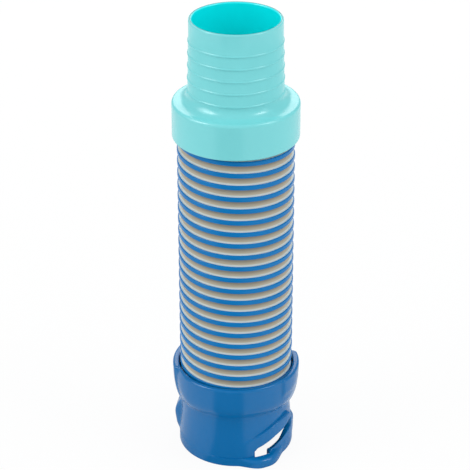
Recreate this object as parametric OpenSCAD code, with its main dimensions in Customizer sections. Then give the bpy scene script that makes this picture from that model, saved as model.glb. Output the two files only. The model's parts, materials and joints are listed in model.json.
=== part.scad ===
// Pool suction hose section: a tapered push-in spigot, a spiral hose and a
// twist-lock cuff that swivels on the lower end of the hose.
// Millimetres, +Z up, -Y is the front. The origin is the centre of the cuff's
// bottom face, on the axis of the hose.

/* [Hose] */
// Outer diameter over the blue ribs
hose_od = 48; // [46:0.5:50]
// Height of one turn of the rib
rib_pitch = 5.235; // [4.8:0.005:5.8]
// Width of the rib along the hose
rib_width = 2.2; // [1.8:0.1:2.6]
// How far the rib stands out from the wall
rib_height = 1.1; // [0.8:0.05:1.4]
// Thickness of the grey wall between the ribs
hose_wall_t = 1.5; // [1:0.1:2]
// Number of turns of the rib, from end to end
rib_turns = 23.75; // [23.75:0.25:26.75]
// Gap between the ends of two lengths of rib at a bend
rib_end_gap = 0.5; // [0.4:0.05:0.8]

/* [Bends] */
// Turns of rib below the lowest bend
turns_to_bend = 3.5; // [3.5:1:4.5]
// Turns of rib between one bend and the next
turns_per_bend = 2.25; // [2.25:1:2.25]

/* [Spigot] */
// Outer diameter of the nose at its mouth
nose_od = 37.6; // [36:0.1:39.5]
// Wall of the nose
nose_wall = 1.4; // [1.1:0.1:1.8]
// Height of each land between two grip rings
land_h = 5.2; // [4.8:0.1:5.6]
// Number of grip rings
ring_count = 5; // [4:1:5]
// Growth of the radius from one land to the next
land_step = 0.13; // [0.08:0.01:0.2]
// How far a grip ring stands out from its land
ring_h = 0.25; // [0.15:0.05:0.4]
// Height of the plain land above the first ring
lead_h = 9; // [7:0.5:12]
// Wall of the collar around the hose
collar_wall = 1.75; // [1.5:0.05:2.6]
// Height of the collar
collar_h = 15.4; // [14:0.2:18]
// Height of the cove between the collar and the nose
cove_h = 4.8; // [4:0.2:6]

/* [Twist lock cuff] */
// Wall of the barrel at its foot
barrel_wall = 2.2; // [1.9:0.1:2.8]
// How much slimmer in radius the barrel is at its top
barrel_draft = 0.9; // [0.4:0.1:1.1]
// How much smaller in radius the bore is than the chamber of the retaining ring
bore_step = 0.4; // [0.2:0.1:0.7]
// Height of the barrel, up to the cup
barrel_h = 26.4; // [25.8:0.1:28]
// Gap, in radius, between the hose and the cup around its end
cup_gap = 0.9; // [0.6:0.1:1.5]
// Wall of the cup
cup_wall = 1.5; // [1.3:0.1:1.6]
// Height of the cup above the barrel
cup_h = 12.7; // [11.8:0.1:14]
// How far the two finger grips stand out from the cup
grip_out = 0.9; // [0.5:0.1:1.4]
// How far the track bosses stand out from the foot of the barrel
boss_out = 1.4; // [1:0.1:1.8]
// How far the entry lobes stand out from the foot of the barrel
lobe_out = 2.6; // [2.3:0.1:3]
// Height of the slot that a lug runs in
slot_h = 4.2; // [3.6:0.1:4.6]
// Height of the entry lobe
lobe_h = 4.3; // [3.8:0.1:4.8]

/* [Swivel] */
// Thickness of the cuff's inner floor
floor_t = 3; // [2.6:0.1:3.4]
// How far the floor's underside lies below the foot of the cup
floor_drop = 1.2; // [0.4:0.1:1.6]
// Wall of the tail sleeve
sleeve_wall = 1.6; // [1.4:0.1:2]
// Length of sleeve inside the hose
sleeve_in_hose = 14; // [10:1:16]
// Thickness of each thrust washer
washer_t = 0.6; // [0.5:0.1:0.8]
// Thickness of the retaining ring
retainer_t = 1.6; // [1.4:0.1:1.8]
// How far the chamber of the retaining ring reaches out past the sleeve
retainer_reach = 1.45; // [1.2:0.05:1.8]
// Thickness of the flange under the hose end
flange_t = 1.6; // [1.4:0.1:2]
// Thickness of the face seal
seal_t = 2.2; // [1.8:0.1:2.6]

/* [Fits] */
// Running fit, in radius, between the sleeve and the cuff's floor
running_fit = 0.08; // [0.05:0.01:0.1]
// Clearance, in radius, between pieces that are bonded or loose
ease = 0.15; // [0.1:0.05:0.25]

/* [Hidden] */
$fn = 96;
eps = 0.02;
cut = 1;                            // cutters run this far past a face

// Hose
hose_r = hose_od / 2;
wall_r = hose_r - rib_height;
hose_bore_r = wall_r - hose_wall_t;
rib_steps = 32;                     // flats in one turn of the rib
rib_half = rib_width / 2;
rib_round = 0.45;                   // corner of the rib
rib_start = 0.26;                   // plain wall below the first turn
rib_bond = 0.05;                    // bond between the rib and the wall
step_a = 360 / rib_steps;
chord = cos(step_a / 2);            // flats of the rib lie this much inside its corners
rib_foot_r = (wall_r + rib_bond) / chord;
end_gap_turns = rib_end_gap / 2 / (2 * PI * hose_r);
bend_count = 8;
function bend_turn(i) = turns_to_bend + turns_per_bend * i;

// Swivel stack, from the cuff's floor upwards and downwards
floor_z = barrel_h - floor_drop;
floor_top = floor_z + floor_t;
sleeve_r = hose_bore_r - ease;
sleeve_bore_r = sleeve_r - sleeve_wall;
floor_bore_r = sleeve_r + running_fit;
flange_z = floor_top + washer_t;
hose_z0 = flange_z + flange_t;      // lower end of the hose
sleeve_z1 = hose_z0 + sleeve_in_hose;
washer_low_z = floor_z - washer_t;
retainer_z = washer_low_z - retainer_t;
sleeve_tail = 2.4;                  // sleeve below the retaining ring
sleeve_z0 = retainer_z - sleeve_tail;
seal_z0 = sleeve_z0 - seal_t;
seal_lip = 0.5;
groove_depth = 0.8;
retainer_split = 3;                 // opening of the retaining ring
rib_z0 = hose_z0 + rib_half + rib_start;
hose_z1 = rib_z0 + rib_pitch * rib_turns + rib_half;

// Spigot, from the hose end upwards
gasket_t = 1.5;
socket_roof = 1.8;                  // from the gasket to the collar's top
collar_top = hose_z1 + gasket_t + socket_roof;
collar_z0 = collar_top - collar_h;
socket_r = hose_r + ease;
collar_r = socket_r + collar_wall;
collar_round = 1.3;
nose_z0 = collar_top + cove_h;      // lowest grip ring
nose_tip_r = nose_od / 2;
nose_bore_r = nose_tip_r - nose_wall;
nose_z1 = nose_z0 + (ring_count - 1) * land_h + lead_h;
ring_half = 0.55;
ring_flat = 0.15;
cove_steps = 8;
function land_r(i) = nose_tip_r + land_step * i;
function ring_z(i) = nose_z1 - lead_h - land_h * (i - 1);

// Twist lock cuff
chamber_r = sleeve_r + retainer_reach;
retainer_r = chamber_r - 2 * ease;
bore_r = chamber_r - bore_step;
foot_r = bore_r + barrel_wall;
foot_break = 0.8;
neck_r = foot_r - barrel_draft;
neck_drop = 2.4;                    // from the foot of the cup down to the neck
cup_bore_r = hose_r + cup_gap;
cup_r = cup_bore_r + cup_wall;
cup_z1 = barrel_h + cup_h;
cup_round = 1.6;
cup_break = 0.4;
mouth_break = 0.8;                  // broken inner edge of the cup's mouth
lobe_r = foot_r + lobe_out;
lobe_wall = 1.8;
root_in = 0.6;                      // a band starts and ends this deep inside the wall
band_in_r = bore_r + 0.4;           // inner side of a band, inside the wall
slot_in_r = bore_r - cut;           // cutters start inside the bore
slot_out_r = lobe_r + cut;

// Track, in angles around the cuff from the front towards the right, and heights
entry_a0 = 19.5;
entry_a1 = 36.5;
slot_a1 = 88;
boss_a0 = 3;
boss_a1 = 101;
lobe_a0 = 4;
lobe_a1 = 49;
grip_a0 = 47;
grip_a1 = 106;
entry_rise_a = 1;                   // the entry's sill rises to the slot's over this angle
entry_slack_a = 0.5;
boss_z0 = 0.4;                      // foot of a boss, above the broken edge of the barrel
boss_foot_rise = 6.1;
boss_start_h = 9.4;                 // top of a boss at its start, and how it rises and falls
boss_shoulder = 4.6;
boss_climb = 6.6;
boss_fall = 2.5;
slot_start_h = 8;                   // roof of the slot at its start, and how it rises
slot_shoulder = 1.2;
slot_climb = 5.6;
slot_pinch = 1.1;                   // the slot's end narrows by this much above and below
grip_h = 9.3;
grip_drop = 0.25;                   // top of a grip below the rim
grip_z0 = cup_z1 - grip_drop - grip_h;
track_steps = 20;
entry_steps = 6;

grey = [0.73, 0.69, 0.65];
rib_blue = [0.0, 0.44, 0.73];
deep_blue = [0.08, 0.39, 0.65];
aqua = [0.51, 0.82, 0.84];
black = [0.12, 0.12, 0.13];
white = [0.92, 0.92, 0.9];

// ---- shared shapes ----

// A ring of rectangular section
module ring(r_out, r_in, z, h) {
    translate([0, 0, z]) difference() {
        cylinder(r = r_out, h = h);
        translate([0, 0, -eps]) cylinder(r = r_in, h = h + 2 * eps);
    }
}

// Solid from a list of sections, each a closed loop of points [x, y, z]. Seen along
// the way from the first section to the last, every loop runs the same way round:
// inner side up, outer side down, and the sections go clockwise about the axis
module loft(sections) {
    n = len(sections[0]);
    m = len(sections);
    points = [for (s = sections) for (p = s) p];
    sides = [for (i = [0:m - 2]) for (j = [0:n - 1])
        let (k = (j + 1) % n) each [
            [i * n + j, i * n + k, (i + 1) * n + k],
            [i * n + j, (i + 1) * n + k, (i + 1) * n + j]]];
    ends = [[for (j = [n - 1:-1:0]) j], [for (j = [0:n - 1]) (m - 1) * n + j]];
    polyhedron(points = points, faces = concat(sides, ends), convexity = 6);
}

// Point at radius r and height z, at angle a from the front towards the right
function around(r, z, a) = [r * sin(a), -r * cos(a), z];

// Smooth step from 0 at a to 1 at b
function ease_in(a, b, x) = let (t = min(1, max(0, (x - a) / (b - a)))) t * t * (3 - 2 * t);

// Two copies, half a turn apart
module pair() {
    for (i = [0:1]) rotate([0, 0, 180 * i]) children();
}

// ---- hose ----

function rib_z(turn) = rib_z0 + rib_pitch * turn;

// The rib's section at a turn; the helix is left-handed, so it goes round clockwise
function rib_section(turn) = let (a = 90 - 360 * turn, z = rib_z(turn),
        ro = hose_r / chord, rm = ro - rib_round) [
    around(rib_foot_r, z - rib_half, a),
    around(rib_foot_r, z + rib_half, a),
    around(rm, z + rib_half, a),
    around(ro, z + rib_half - rib_round, a),
    around(ro, z - rib_half + rib_round, a),
    around(rm, z - rib_half, a)];

// A length of rib between two turns
module rib_length(from, to) {
    first = ceil(from * rib_steps + 0.5);
    last = floor(to * rib_steps - 0.5);
    turns = concat([from], [for (i = [first:last]) i / rib_steps], [to]);
    color(rib_blue) loft([for (t = turns) rib_section(t)]);
}

// Rib number n, from 1 at the bottom to bend_count + 1 at the top
module rib(n) {
    from = n == 1 ? 0 : bend_turn(n - 2) + end_gap_turns;
    to = n == bend_count + 1 ? rib_turns : bend_turn(n - 1) - end_gap_turns;
    rib_length(from, to);
}

module hose_wall() color(grey) ring(wall_r, hose_bore_r, hose_z0, hose_z1 - hose_z0);

// ---- swivel at the lower end ----

// Sleeve bonded into the hose, with a flange under the hose end
module tail_sleeve() color(black) difference() {
    union() {
        translate([0, 0, sleeve_z0]) cylinder(r = sleeve_r, h = sleeve_z1 - sleeve_z0);
        translate([0, 0, flange_z]) cylinder(r = hose_r, h = flange_t);
    }
    translate([0, 0, sleeve_z0 - eps]) cylinder(r = sleeve_bore_r, h = sleeve_z1 - sleeve_z0 + 2 * eps);
    ring(sleeve_r + cut, sleeve_r - groove_depth, retainer_z, retainer_t);
}

module upper_thrust_washer() color(white) ring(hose_r, floor_bore_r, floor_top, washer_t);

module lower_thrust_washer() color(white) ring(retainer_r, floor_bore_r, washer_low_z, washer_t);

// Snap ring in the sleeve's groove, open at the back
module retaining_ring() color(black) difference() {
    ring(retainer_r, sleeve_r - groove_depth, retainer_z, retainer_t);
    translate([-retainer_split / 2, 0, retainer_z - eps])
        cube([retainer_split, hose_r, retainer_t + 2 * eps]);
}

// Rubber ring on the sleeve's end, with a lip that the next hose presses on
module face_seal() color(black) translate([0, 0, seal_z0]) rotate_extrude()
    polygon([[sleeve_bore_r + 0.2, seal_lip], [sleeve_bore_r + 0.9, 0], [bore_r - 0.9, 0],
             [bore_r - 0.4, seal_lip + 0.2], [bore_r - 0.7, seal_t], [sleeve_bore_r, seal_t]]);

// ---- spigot ----

module hose_gasket() color(black) ring(hose_r, hose_bore_r, hose_z1, gasket_t);

// Half section of the cove from the collar's top to the lowest ring
cove_points = [for (t = [0:1 / cove_steps:1])
    [land_r(ring_count) + (collar_r - collar_round - land_r(ring_count)) * (1 - sin(90 * t)),
     collar_top + cove_h * (1 - cos(90 * t)) * 0.9]];

module nose_profile() {
    polygon(concat(
        [[0, collar_z0 + collar_round], [collar_r, collar_z0 + collar_round],
         [collar_r, collar_top - collar_round], [collar_r - collar_round, collar_top]],
        cove_points,
        [[land_r(ring_count), nose_z0], [0, nose_z0]]));
    translate([0, collar_z0]) square([collar_r - collar_round, collar_h]);
    for (z = [collar_z0 + collar_round, collar_top - collar_round])
        translate([collar_r - collar_round, z]) circle(r = collar_round, $fn = 32);
}

module spigot_cuff() color(aqua) difference() {
    union() {
        rotate_extrude() intersection() {
            nose_profile();
            square([2 * collar_r, nose_z1]);
        }
        for (i = [0:ring_count - 1]) {
            z0 = i == ring_count - 1 ? nose_z0 - eps : ring_z(i + 1);
            z1 = i == 0 ? nose_z1 - nose_wall / 2 : ring_z(i);
            translate([0, 0, z0]) cylinder(r = land_r(i), h = z1 - z0);
        }
        for (i = [1:ring_count]) translate([0, 0, ring_z(i)]) rotate_extrude()
            polygon([[nose_bore_r, -ring_half], [land_r(i), -ring_half],
                     [land_r(i) + ring_h, -ring_flat], [land_r(i) + ring_h, ring_flat],
                     [land_r(i - 1), ring_half], [nose_bore_r, ring_half]]);
        translate([0, 0, nose_z1 - nose_wall / 2]) rotate_extrude()
            translate([nose_tip_r - nose_wall / 2, 0]) circle(r = nose_wall / 2, $fn = 32);
    }
    translate([0, 0, collar_z0 - cut]) cylinder(r = nose_bore_r, h = nose_z1 - collar_z0 + 2 * cut);
    translate([0, 0, collar_z0 - cut]) cylinder(r = socket_r, h = hose_z1 + gasket_t - collar_z0 + cut);
}

// ---- twist lock cuff ----

// Heights of the track's edges at angle a
function boss_top(a) = boss_start_h + boss_shoulder * ease_in(boss_a0 - 3, boss_a0 + 23, a)
    + boss_climb * ease_in(boss_a0 + 9, slot_a1 - 6, a) - boss_fall * ease_in(boss_a1 - 17, boss_a1, a);
function boss_low(a) = boss_z0 + boss_foot_rise * ease_in(boss_a1 - 39, boss_a1 - 9, a);
function slot_top(a) = slot_start_h + slot_shoulder * ease_in(entry_a0 - 0.5, entry_a0 + 4.5, a)
    + slot_climb * ease_in(entry_a0 - 3.5, slot_a1 - 2, a);
function slot_low(a) = a < entry_a1 ? lobe_h : slot_top(a) - slot_h;

// From 0 to 1 over a start angle, and back to 0 over an end angle
function swell(a0, a1, start, end, a) = ease_in(a0, a0 + start, a) * (1 - ease_in(a1 - end, a1, a));

function track_a(i, a0, a1) = a0 + (a1 - a0) * i / track_steps;

// Band on the outside of the cuff, with broken outer edges: its outer radius, foot and
// top at each step are in lists
module band(a0, a1, r_in, r_out, edge, low, top) {
    loft([for (i = [track_steps:-1:0])
        let (a = track_a(i, a0, a1), z0 = low[i], z1 = top[i], ro = r_out[i]) [
            around(r_in, z0, a), around(r_in, z1, a), around(ro - edge, z1, a),
            around(ro, z1 - edge, a), around(ro, z0 + edge / 2, a), around(ro - edge, z0, a)]]);
}

module track_boss() {
    angles = [for (i = [0:track_steps]) track_a(i, boss_a0, boss_a1)];
    band(boss_a0, boss_a1, band_in_r,
         [for (a = angles) foot_r - root_in + (boss_out + root_in) * swell(boss_a0, boss_a1, 16, 9, a)],
         0.5, [for (a = angles) boss_low(a)], [for (a = angles) boss_top(a)]);
}

module entry_lobe() {
    angles = [for (i = [0:track_steps]) track_a(i, lobe_a0, lobe_a1)];
    band(lobe_a0, lobe_a1, band_in_r,
         [for (a = angles) foot_r - root_in + (lobe_out + root_in) * swell(lobe_a0, lobe_a1, 13, 13, a)],
         0.9, [for (a = angles) 0], [for (a = angles) lobe_h]);
}

module finger_grip() {
    angles = [for (i = [0:track_steps]) track_a(i, grip_a0, grip_a1)];
    band(grip_a0, grip_a1, cup_bore_r + 0.4,
         [for (a = angles) cup_r - root_in + (grip_out + root_in) * swell(grip_a0, grip_a1, 4, 4, a)],
         0.8, [for (a = angles) grip_z0], [for (a = angles) grip_z0 + grip_h]);
}

// Slanted slot through the wall, from the way in to its rounded end
module track_slot() {
    sill_a1 = entry_a1 - entry_rise_a;
    angles = concat([for (i = [0:entry_steps]) entry_a0 + (sill_a1 - entry_a0) * i / entry_steps],
                    [for (i = [0:track_steps]) track_a(i, entry_a1, slot_a1)]);
    last = len(angles) - 1;
    loft([for (i = [last:-1:0])
        let (a = angles[i],
             pinch = i == last ? slot_pinch : i == last - 1 ? slot_pinch / 3 : 0,
             z0 = slot_low(a) + pinch, z1 = slot_top(a) - pinch) [
            around(slot_in_r, z0, a), around(slot_in_r, z1, a),
            around(slot_out_r, z1, a), around(slot_out_r, z0, a)]]);
}

// Way for the lug, from the foot of the cuff up to the slot, inside the lobe's wall
module lug_entry() {
    a0 = entry_a0 - entry_slack_a;
    a1 = entry_a1 - entry_rise_a - entry_slack_a;
    r1 = lobe_r - lobe_wall;
    loft([for (i = [entry_steps:-1:0]) let (a = a0 + (a1 - a0) * i / entry_steps) [
        around(slot_in_r, -cut, a), around(slot_in_r, lobe_h + cut, a),
        around(r1, lobe_h + cut, a), around(r1, -cut, a)]]);
}

// Outside of the cuff, turned about the axis
module cuff_outline() {
    polygon([[0, 0], [foot_r - foot_break, 0], [foot_r - 0.25, 0.25], [foot_r, foot_break],
             [neck_r, barrel_h - neck_drop], [neck_r + 0.2, barrel_h - neck_drop + 1],
             [cup_r - cup_round, barrel_h], [cup_r - 0.45, barrel_h + 0.75], [cup_r, barrel_h + 1.9],
             [cup_r, cup_z1 - cup_break], [cup_r - cup_break, cup_z1], [0, cup_z1]]);
}

module twist_lock_cuff() color(deep_blue) difference() {
    union() {
        rotate_extrude() cuff_outline();
        pair() {
            track_boss();
            entry_lobe();
            finger_grip();
        }
    }
    // bore, chamber of the retaining ring, floor and cup
    translate([0, 0, -cut]) cylinder(r = bore_r, h = floor_z + cut);
    translate([0, 0, seal_z0 - ease]) cylinder(r = chamber_r, h = floor_z - seal_z0 + ease);
    translate([0, 0, floor_z - cut]) cylinder(r = floor_bore_r, h = floor_t + 2 * cut);
    translate([0, 0, floor_top]) cylinder(r = cup_bore_r, h = cup_z1 - floor_top + cut);
    translate([0, 0, cup_z1 - mouth_break]) rotate_extrude()
        polygon([[0, 0], [cup_bore_r, 0], [cup_bore_r + mouth_break + eps, mouth_break + eps],
                 [0, mouth_break + eps]]);
    pair() {
        track_slot();
        lug_entry();
    }
}

twist_lock_cuff();
tail_sleeve();
upper_thrust_washer();
lower_thrust_washer();
retaining_ring();
face_seal();
hose_wall();
rib(1);  // rib_1
rib(2);  // rib_2
rib(3);  // rib_3
rib(4);  // rib_4
rib(5);  // rib_5
rib(6);  // rib_6
rib(7);  // rib_7
rib(8);  // rib_8
rib(9);  // rib_9
hose_gasket();
spigot_cuff();
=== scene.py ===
"""Pool suction hose section: a push-in spigot, a spiral hose and a twist-lock cuff.

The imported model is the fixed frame. The spigot, the hose and the cuff are built here
around it, and the swivel's own pieces keep their frame meshes. All sizes are in metres
in the settings, and in millimetres in the functions that draw an outline.
"""

import json
import math
from typing import NamedTuple

import bmesh
import bpy
from mathutils import Matrix, Vector


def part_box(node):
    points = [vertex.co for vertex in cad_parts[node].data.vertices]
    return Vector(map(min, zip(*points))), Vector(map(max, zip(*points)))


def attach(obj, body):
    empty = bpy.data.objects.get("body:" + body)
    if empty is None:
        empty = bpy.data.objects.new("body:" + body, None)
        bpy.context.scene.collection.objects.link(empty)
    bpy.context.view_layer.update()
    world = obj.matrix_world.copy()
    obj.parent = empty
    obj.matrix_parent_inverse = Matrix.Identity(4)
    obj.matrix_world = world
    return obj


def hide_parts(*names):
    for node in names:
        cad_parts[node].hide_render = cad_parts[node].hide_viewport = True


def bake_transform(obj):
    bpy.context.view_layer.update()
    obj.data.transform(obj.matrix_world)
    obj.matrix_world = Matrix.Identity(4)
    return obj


bl_info = {
    "name": "Pool Hose Section",
    "version": (1, 0, 0),
    "blender": (4, 5, 0),
    "location": "3D View > Sidebar > Pool Hose",
    "description": "Spigot, spiral hose and twist-lock cuff of a pool suction hose",
    "category": "Object",
}

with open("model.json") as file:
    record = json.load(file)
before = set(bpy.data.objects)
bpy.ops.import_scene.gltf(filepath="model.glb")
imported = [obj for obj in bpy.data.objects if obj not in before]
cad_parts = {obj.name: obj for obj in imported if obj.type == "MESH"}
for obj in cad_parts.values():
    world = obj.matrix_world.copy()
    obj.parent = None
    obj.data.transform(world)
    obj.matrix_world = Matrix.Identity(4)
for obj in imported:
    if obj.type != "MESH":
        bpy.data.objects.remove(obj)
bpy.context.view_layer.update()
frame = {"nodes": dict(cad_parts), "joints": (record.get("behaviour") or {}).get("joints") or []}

MM = 0.001
FULL_TURN = 2 * math.pi


def top_of(node):
    """Height of a node's highest point, in metres."""
    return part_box(node)[1].z


def foot_of(node):
    """Height of a node's lowest point, in metres."""
    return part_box(node)[0].z


def radius_of(node):
    """Greatest reach of a node from the axis along X, in metres."""
    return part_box(node)[1].x


BENDS = [joint for joint in frame["joints"] if joint["name"].startswith("hose_bend")]
BEND_HEIGHTS = [joint["pos_m"][2] for joint in BENDS]


def plain(red, green, blue):
    """Linear colour of a display colour whose parts run from 0 to 255."""
    shares = [part / 255 for part in (red, green, blue)]
    linear = [s / 12.92 if s < 0.04045 else ((s + 0.055) / 1.055) ** 2.4 for s in shares]
    return (*linear, 1.0)


# ---- settings ----


def amount(name, description, default, **kinds):
    """A number that the user can change."""
    return bpy.props.FloatProperty(name=name, description=description, default=default, **kinds)


def length(name, description, default):
    """A size in metres that the user can change."""
    return amount(name, description, default, min=0.0, unit="LENGTH", precision=5)


def colour(name, description, default):
    """A colour that the user can change."""
    return bpy.props.FloatVectorProperty(
        name=name, description=description, default=default, size=4, min=0.0, max=1.0,
        subtype="COLOR",
    )


class HoseSettings(bpy.types.PropertyGroup):
    """Sizes of the spiral hose."""

    outer_radius: length("Outer radius", "Radius over the ribs", 24.0 * MM)
    rib_width: length("Rib width", "Width of the rib along the hose", 2.1 * MM)
    rib_height: length("Rib height", "How far the rib stands out from the wall", 1.1 * MM)
    rib_round: length("Rib corner", "Radius of the rib's outer corners", 0.5 * MM)
    lip: length("Lip", "How far the wall's lip laps over the top of the rib", 0.65 * MM)
    wall: length("Wall", "Thickness of the grey wall", 1.5 * MM)
    wall_dip: length("Wall dip", "How deep the wall sinks under a rib", 0.5 * MM)
    turns_to_bend: amount("Turns to bend", "Turns of rib below the lowest bend", 3.5, min=1.0)
    turns_per_bend: amount("Turns per bend", "Turns of rib between two bends", 2.25, min=1.0)


class SpigotSettings(bpy.types.PropertyGroup):
    """Sizes of the spigot cuff."""

    nose_radius: length("Nose radius", "Radius of the nose at its mouth", 18.8 * MM)
    nose_wall: length("Nose wall", "Wall of the nose", 1.4 * MM)
    land_height: length("Land height", "Height from one grip ring to the next", 5.2 * MM)
    land_step: length("Land step", "Growth of the radius from one land to the next", 0.13 * MM)
    lead_height: length("Lead height", "Height of the plain land above the first ring", 9.0 * MM)
    ring_height: length("Ring height", "How far a grip ring stands out", 0.2 * MM)
    collar_height: length("Collar height", "Height of the collar around the hose", 15.4 * MM)
    collar_round: length("Collar round", "Radius of the collar's outer edges", 1.3 * MM)
    cove_height: length("Cove height", "Height of the cove above the collar", 4.8 * MM)
    socket_radius: length("Socket radius", "Radius of the socket that holds the hose", 24.15 * MM)


class CuffSettings(bpy.types.PropertyGroup):
    """Sizes of the twist-lock cuff."""

    foot_radius: length("Foot radius", "Radius of the barrel at its foot", 24.65 * MM)
    draft: length("Draft", "How much slimmer the barrel is at its top", 1.3 * MM)
    bore_radius: length("Bore radius", "Radius of the bore that takes the mating neck", 22.3 * MM)
    chamber_radius: length("Chamber radius", "Radius of the retaining ring's chamber", 22.7 * MM)
    cup_radius: length("Cup radius", "Outer radius of the cup around the hose", 26.4 * MM)
    cup_wall: length("Cup wall", "Wall of the cup", 1.9 * MM)
    grip_out: length("Grip", "How far a finger grip stands out from the cup", 0.9 * MM)
    boss_out: length("Boss", "How far a track boss stands out from the foot", 0.35 * MM)
    lobe_out: length("Lobe", "How far an entry lobe stands out from the foot", 3.85 * MM)


class FinishSettings(bpy.types.PropertyGroup):
    """Colours of the pieces."""

    aqua: colour("Spigot", "Aqua plastic of the spigot cuff", plain(122, 215, 218))
    # Painted light: the deeper, brighter turquoise down the bore stands in for the light that
    # bounces inside the spigot.
    bore: colour("Spigot bore", "Deeper turquoise inside the spigot", plain(0, 240, 244))
    rib: colour("Rib", "Blue plastic of the rib", plain(0, 116, 184))
    wall: colour("Wall", "Grey plastic of the hose's wall", plain(184, 174, 153))
    # Painted highlight: the wall's lip over each rib is painted pale for the light that its top
    # catches.
    lip: colour("Wall lip", "Pale lip of the wall on a rib", plain(208, 218, 216))
    # Painted shade: colour of the wall under each rib, painted darker for the shadow that the rib
    # casts.
    shaded: colour("Dusty wall", "Wall under a rib, where dust stays", plain(142, 135, 121))
    cuff: colour("Cuff", "Deep blue plastic of the twist-lock cuff", plain(3, 108, 171))
    black: colour("Black parts", "Black acetal of the swivel's sleeve and ring", plain(38, 38, 40))
    white: colour("White parts", "White acetal of the thrust washers", plain(226, 224, 216))
    rubber: colour("Rubber", "Black rubber of the seals", plain(30, 30, 31))


class StageSettings(bpy.types.PropertyGroup):
    """Camera and floor."""

    camera_distance: length("Camera distance", "From the axis to the camera, on the floor", 0.6625)
    camera_height: length("Camera height", "Height of the camera over the floor", 0.4484)
    camera_tilt: amount(
        "Camera tilt", "How far the camera looks down", math.radians(27.795), subtype="ANGLE"
    )
    focal_pixels: amount("Focal length", "In pixels of the finished picture", 1803.05, min=1.0)
    centre_pixel: amount("Centre", "Pixel column that the axis of view meets", 235.98)
    floor_size: length("Floor size", "Side of the square floor", 6.0)
    floor_colour: colour("Floor", "Colour of the floor", (0.78, 0.78, 0.78, 1.0))


# ---- mesh helpers ----


def ease(start, end, x):
    """Smooth step from 0 at start to 1 at end."""
    share = min(1.0, max(0.0, (x - start) / (end - start)))
    return share * share * (3 - 2 * share)


def swell(start, end, rise, fall, x):
    """From 0 to 1 after start, and back to 0 before end."""
    return ease(start, start + rise, x) * (1 - ease(end - fall, end, x))


ARC_STEPS = 6
HOLD = 0.12  # mm from the end of a rounded corner to the point that keeps the flat flat


def rounded(corners):
    """Closed outline of (radius, height, rounding) corners in millimetres, arcs included."""
    outline = []
    for index, (r, z, rounding) in enumerate(corners):
        here = Vector((r, z))
        if rounding == 0:
            outline.append(here)
            continue
        back = Vector(corners[index - 1][:2]) - here
        ahead = Vector(corners[(index + 1) % len(corners)][:2]) - here
        half = back.angle(ahead) / 2
        reach = rounding / math.tan(half)
        back.normalize()
        ahead.normalize()
        centre = here + (back + ahead).normalized() * rounding / math.sin(half)
        first = (here + back * reach - centre).normalized()
        last = (here + ahead * reach - centre).normalized()
        shares = [step / ARC_STEPS for step in range(ARC_STEPS + 1)]
        arc = [centre + first.slerp(last, share) * rounding for share in shares]
        outline += [here + back * (reach + HOLD), *arc, here + ahead * (reach + HOLD)]
    return outline


def loop_of(bm, outline, closed=True):
    """Vertices and edges of an outline in the XZ plane, from points in millimetres."""
    verts = [bm.verts.new((r * MM, 0, z * MM)) for r, z in outline]
    starts = range(len(verts)) if closed else range(1, len(verts))
    edges = [bm.edges.new((verts[i - 1], verts[i])) for i in starts]
    return verts, edges


def piece_from(bm, name, material, smooth_angle=35):
    """Object made from a finished bmesh, its faces outwards and its soft edges smooth."""
    bmesh.ops.recalc_face_normals(bm, faces=bm.faces[:])
    if bm.calc_volume(signed=True) < 0:
        bmesh.ops.reverse_faces(bm, faces=bm.faces[:])
    mesh = bpy.data.meshes.new(name)
    bm.to_mesh(mesh)
    bm.free()
    for polygon in mesh.polygons:
        polygon.use_smooth = True
    mesh.set_sharp_from_angle(angle=math.radians(smooth_angle))
    mesh.materials.append(material)
    piece = bpy.data.objects.new(name, mesh)
    bpy.context.scene.collection.objects.link(piece)
    return piece


def spin(bm, verts, edges, steps, angle=FULL_TURN, rise=0.0):
    """Turns an outline about the Z axis, and lifts it a little at each step."""
    bmesh.ops.spin(
        bm, geom=verts + edges, cent=(0, 0, 0), axis=(0, 0, 1), dvec=(0, 0, rise),
        angle=angle, steps=steps, use_merge=angle == FULL_TURN,
    )


# ---- finishes ----

# The bore's deeper turquoise is painted bounce light.
BOUNCE_TINT_FULL = 0.1 * MM  # from the bore's wall outwards to where its deeper colour is full,
BOUNCE_TINT_END = 0.7 * MM  # and to where it ends
TOOL_RINGS = 9000.0  # radians per metre of the rings on turned acetal


class Number:
    """A number socket that is used in Python expressions."""

    def __init__(self, nodes, socket):
        self.nodes = nodes
        self.socket = socket

    def __add__(self, other):
        return self.nodes.maths("ADD", self, other)

    def __radd__(self, other):
        return self + other

    def __sub__(self, other):
        return self.nodes.maths("SUBTRACT", self, other)

    def __rsub__(self, other):
        return self.nodes.maths("SUBTRACT", other, self)

    def __mul__(self, other):
        return self.nodes.maths("MULTIPLY", self, other)

    def __rmul__(self, other):
        return self * other


class NodeTree:
    """A node tree while it is written."""

    def __init__(self, tree):
        self.tree = tree
        self.tree.nodes.clear()

    def node(self, kind, settings, inputs):
        """A node of that type, with its settings made first and then its inputs."""
        made = self.tree.nodes.new(kind)
        for name, value in settings.items():
            setattr(made, name, value)
        for name, value in inputs.items():
            socket = made.inputs[name.replace("_", " ") if isinstance(name, str) else name]
            self.feed(socket, value)
        return made

    def feed(self, socket, value):
        """Links a socket to a value's socket, or sets it to a plain value."""
        if isinstance(value, Number):
            value = value.socket
        if isinstance(value, bpy.types.NodeSocket):
            self.tree.links.new(value, socket)
        else:
            socket.default_value = value

    def maths(self, operation, *values):
        """The number that a Math node makes of its values."""
        made = self.node("ShaderNodeMath", {"operation": operation}, dict(enumerate(values)))
        return Number(self, made.outputs[0])

    def mix_numbers(self, share, first, second):
        """Number between two numbers."""
        made = self.node("ShaderNodeMix", {"data_type": "FLOAT"}, {0: share, 2: first, 3: second})
        return Number(self, made.outputs[0])


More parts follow.
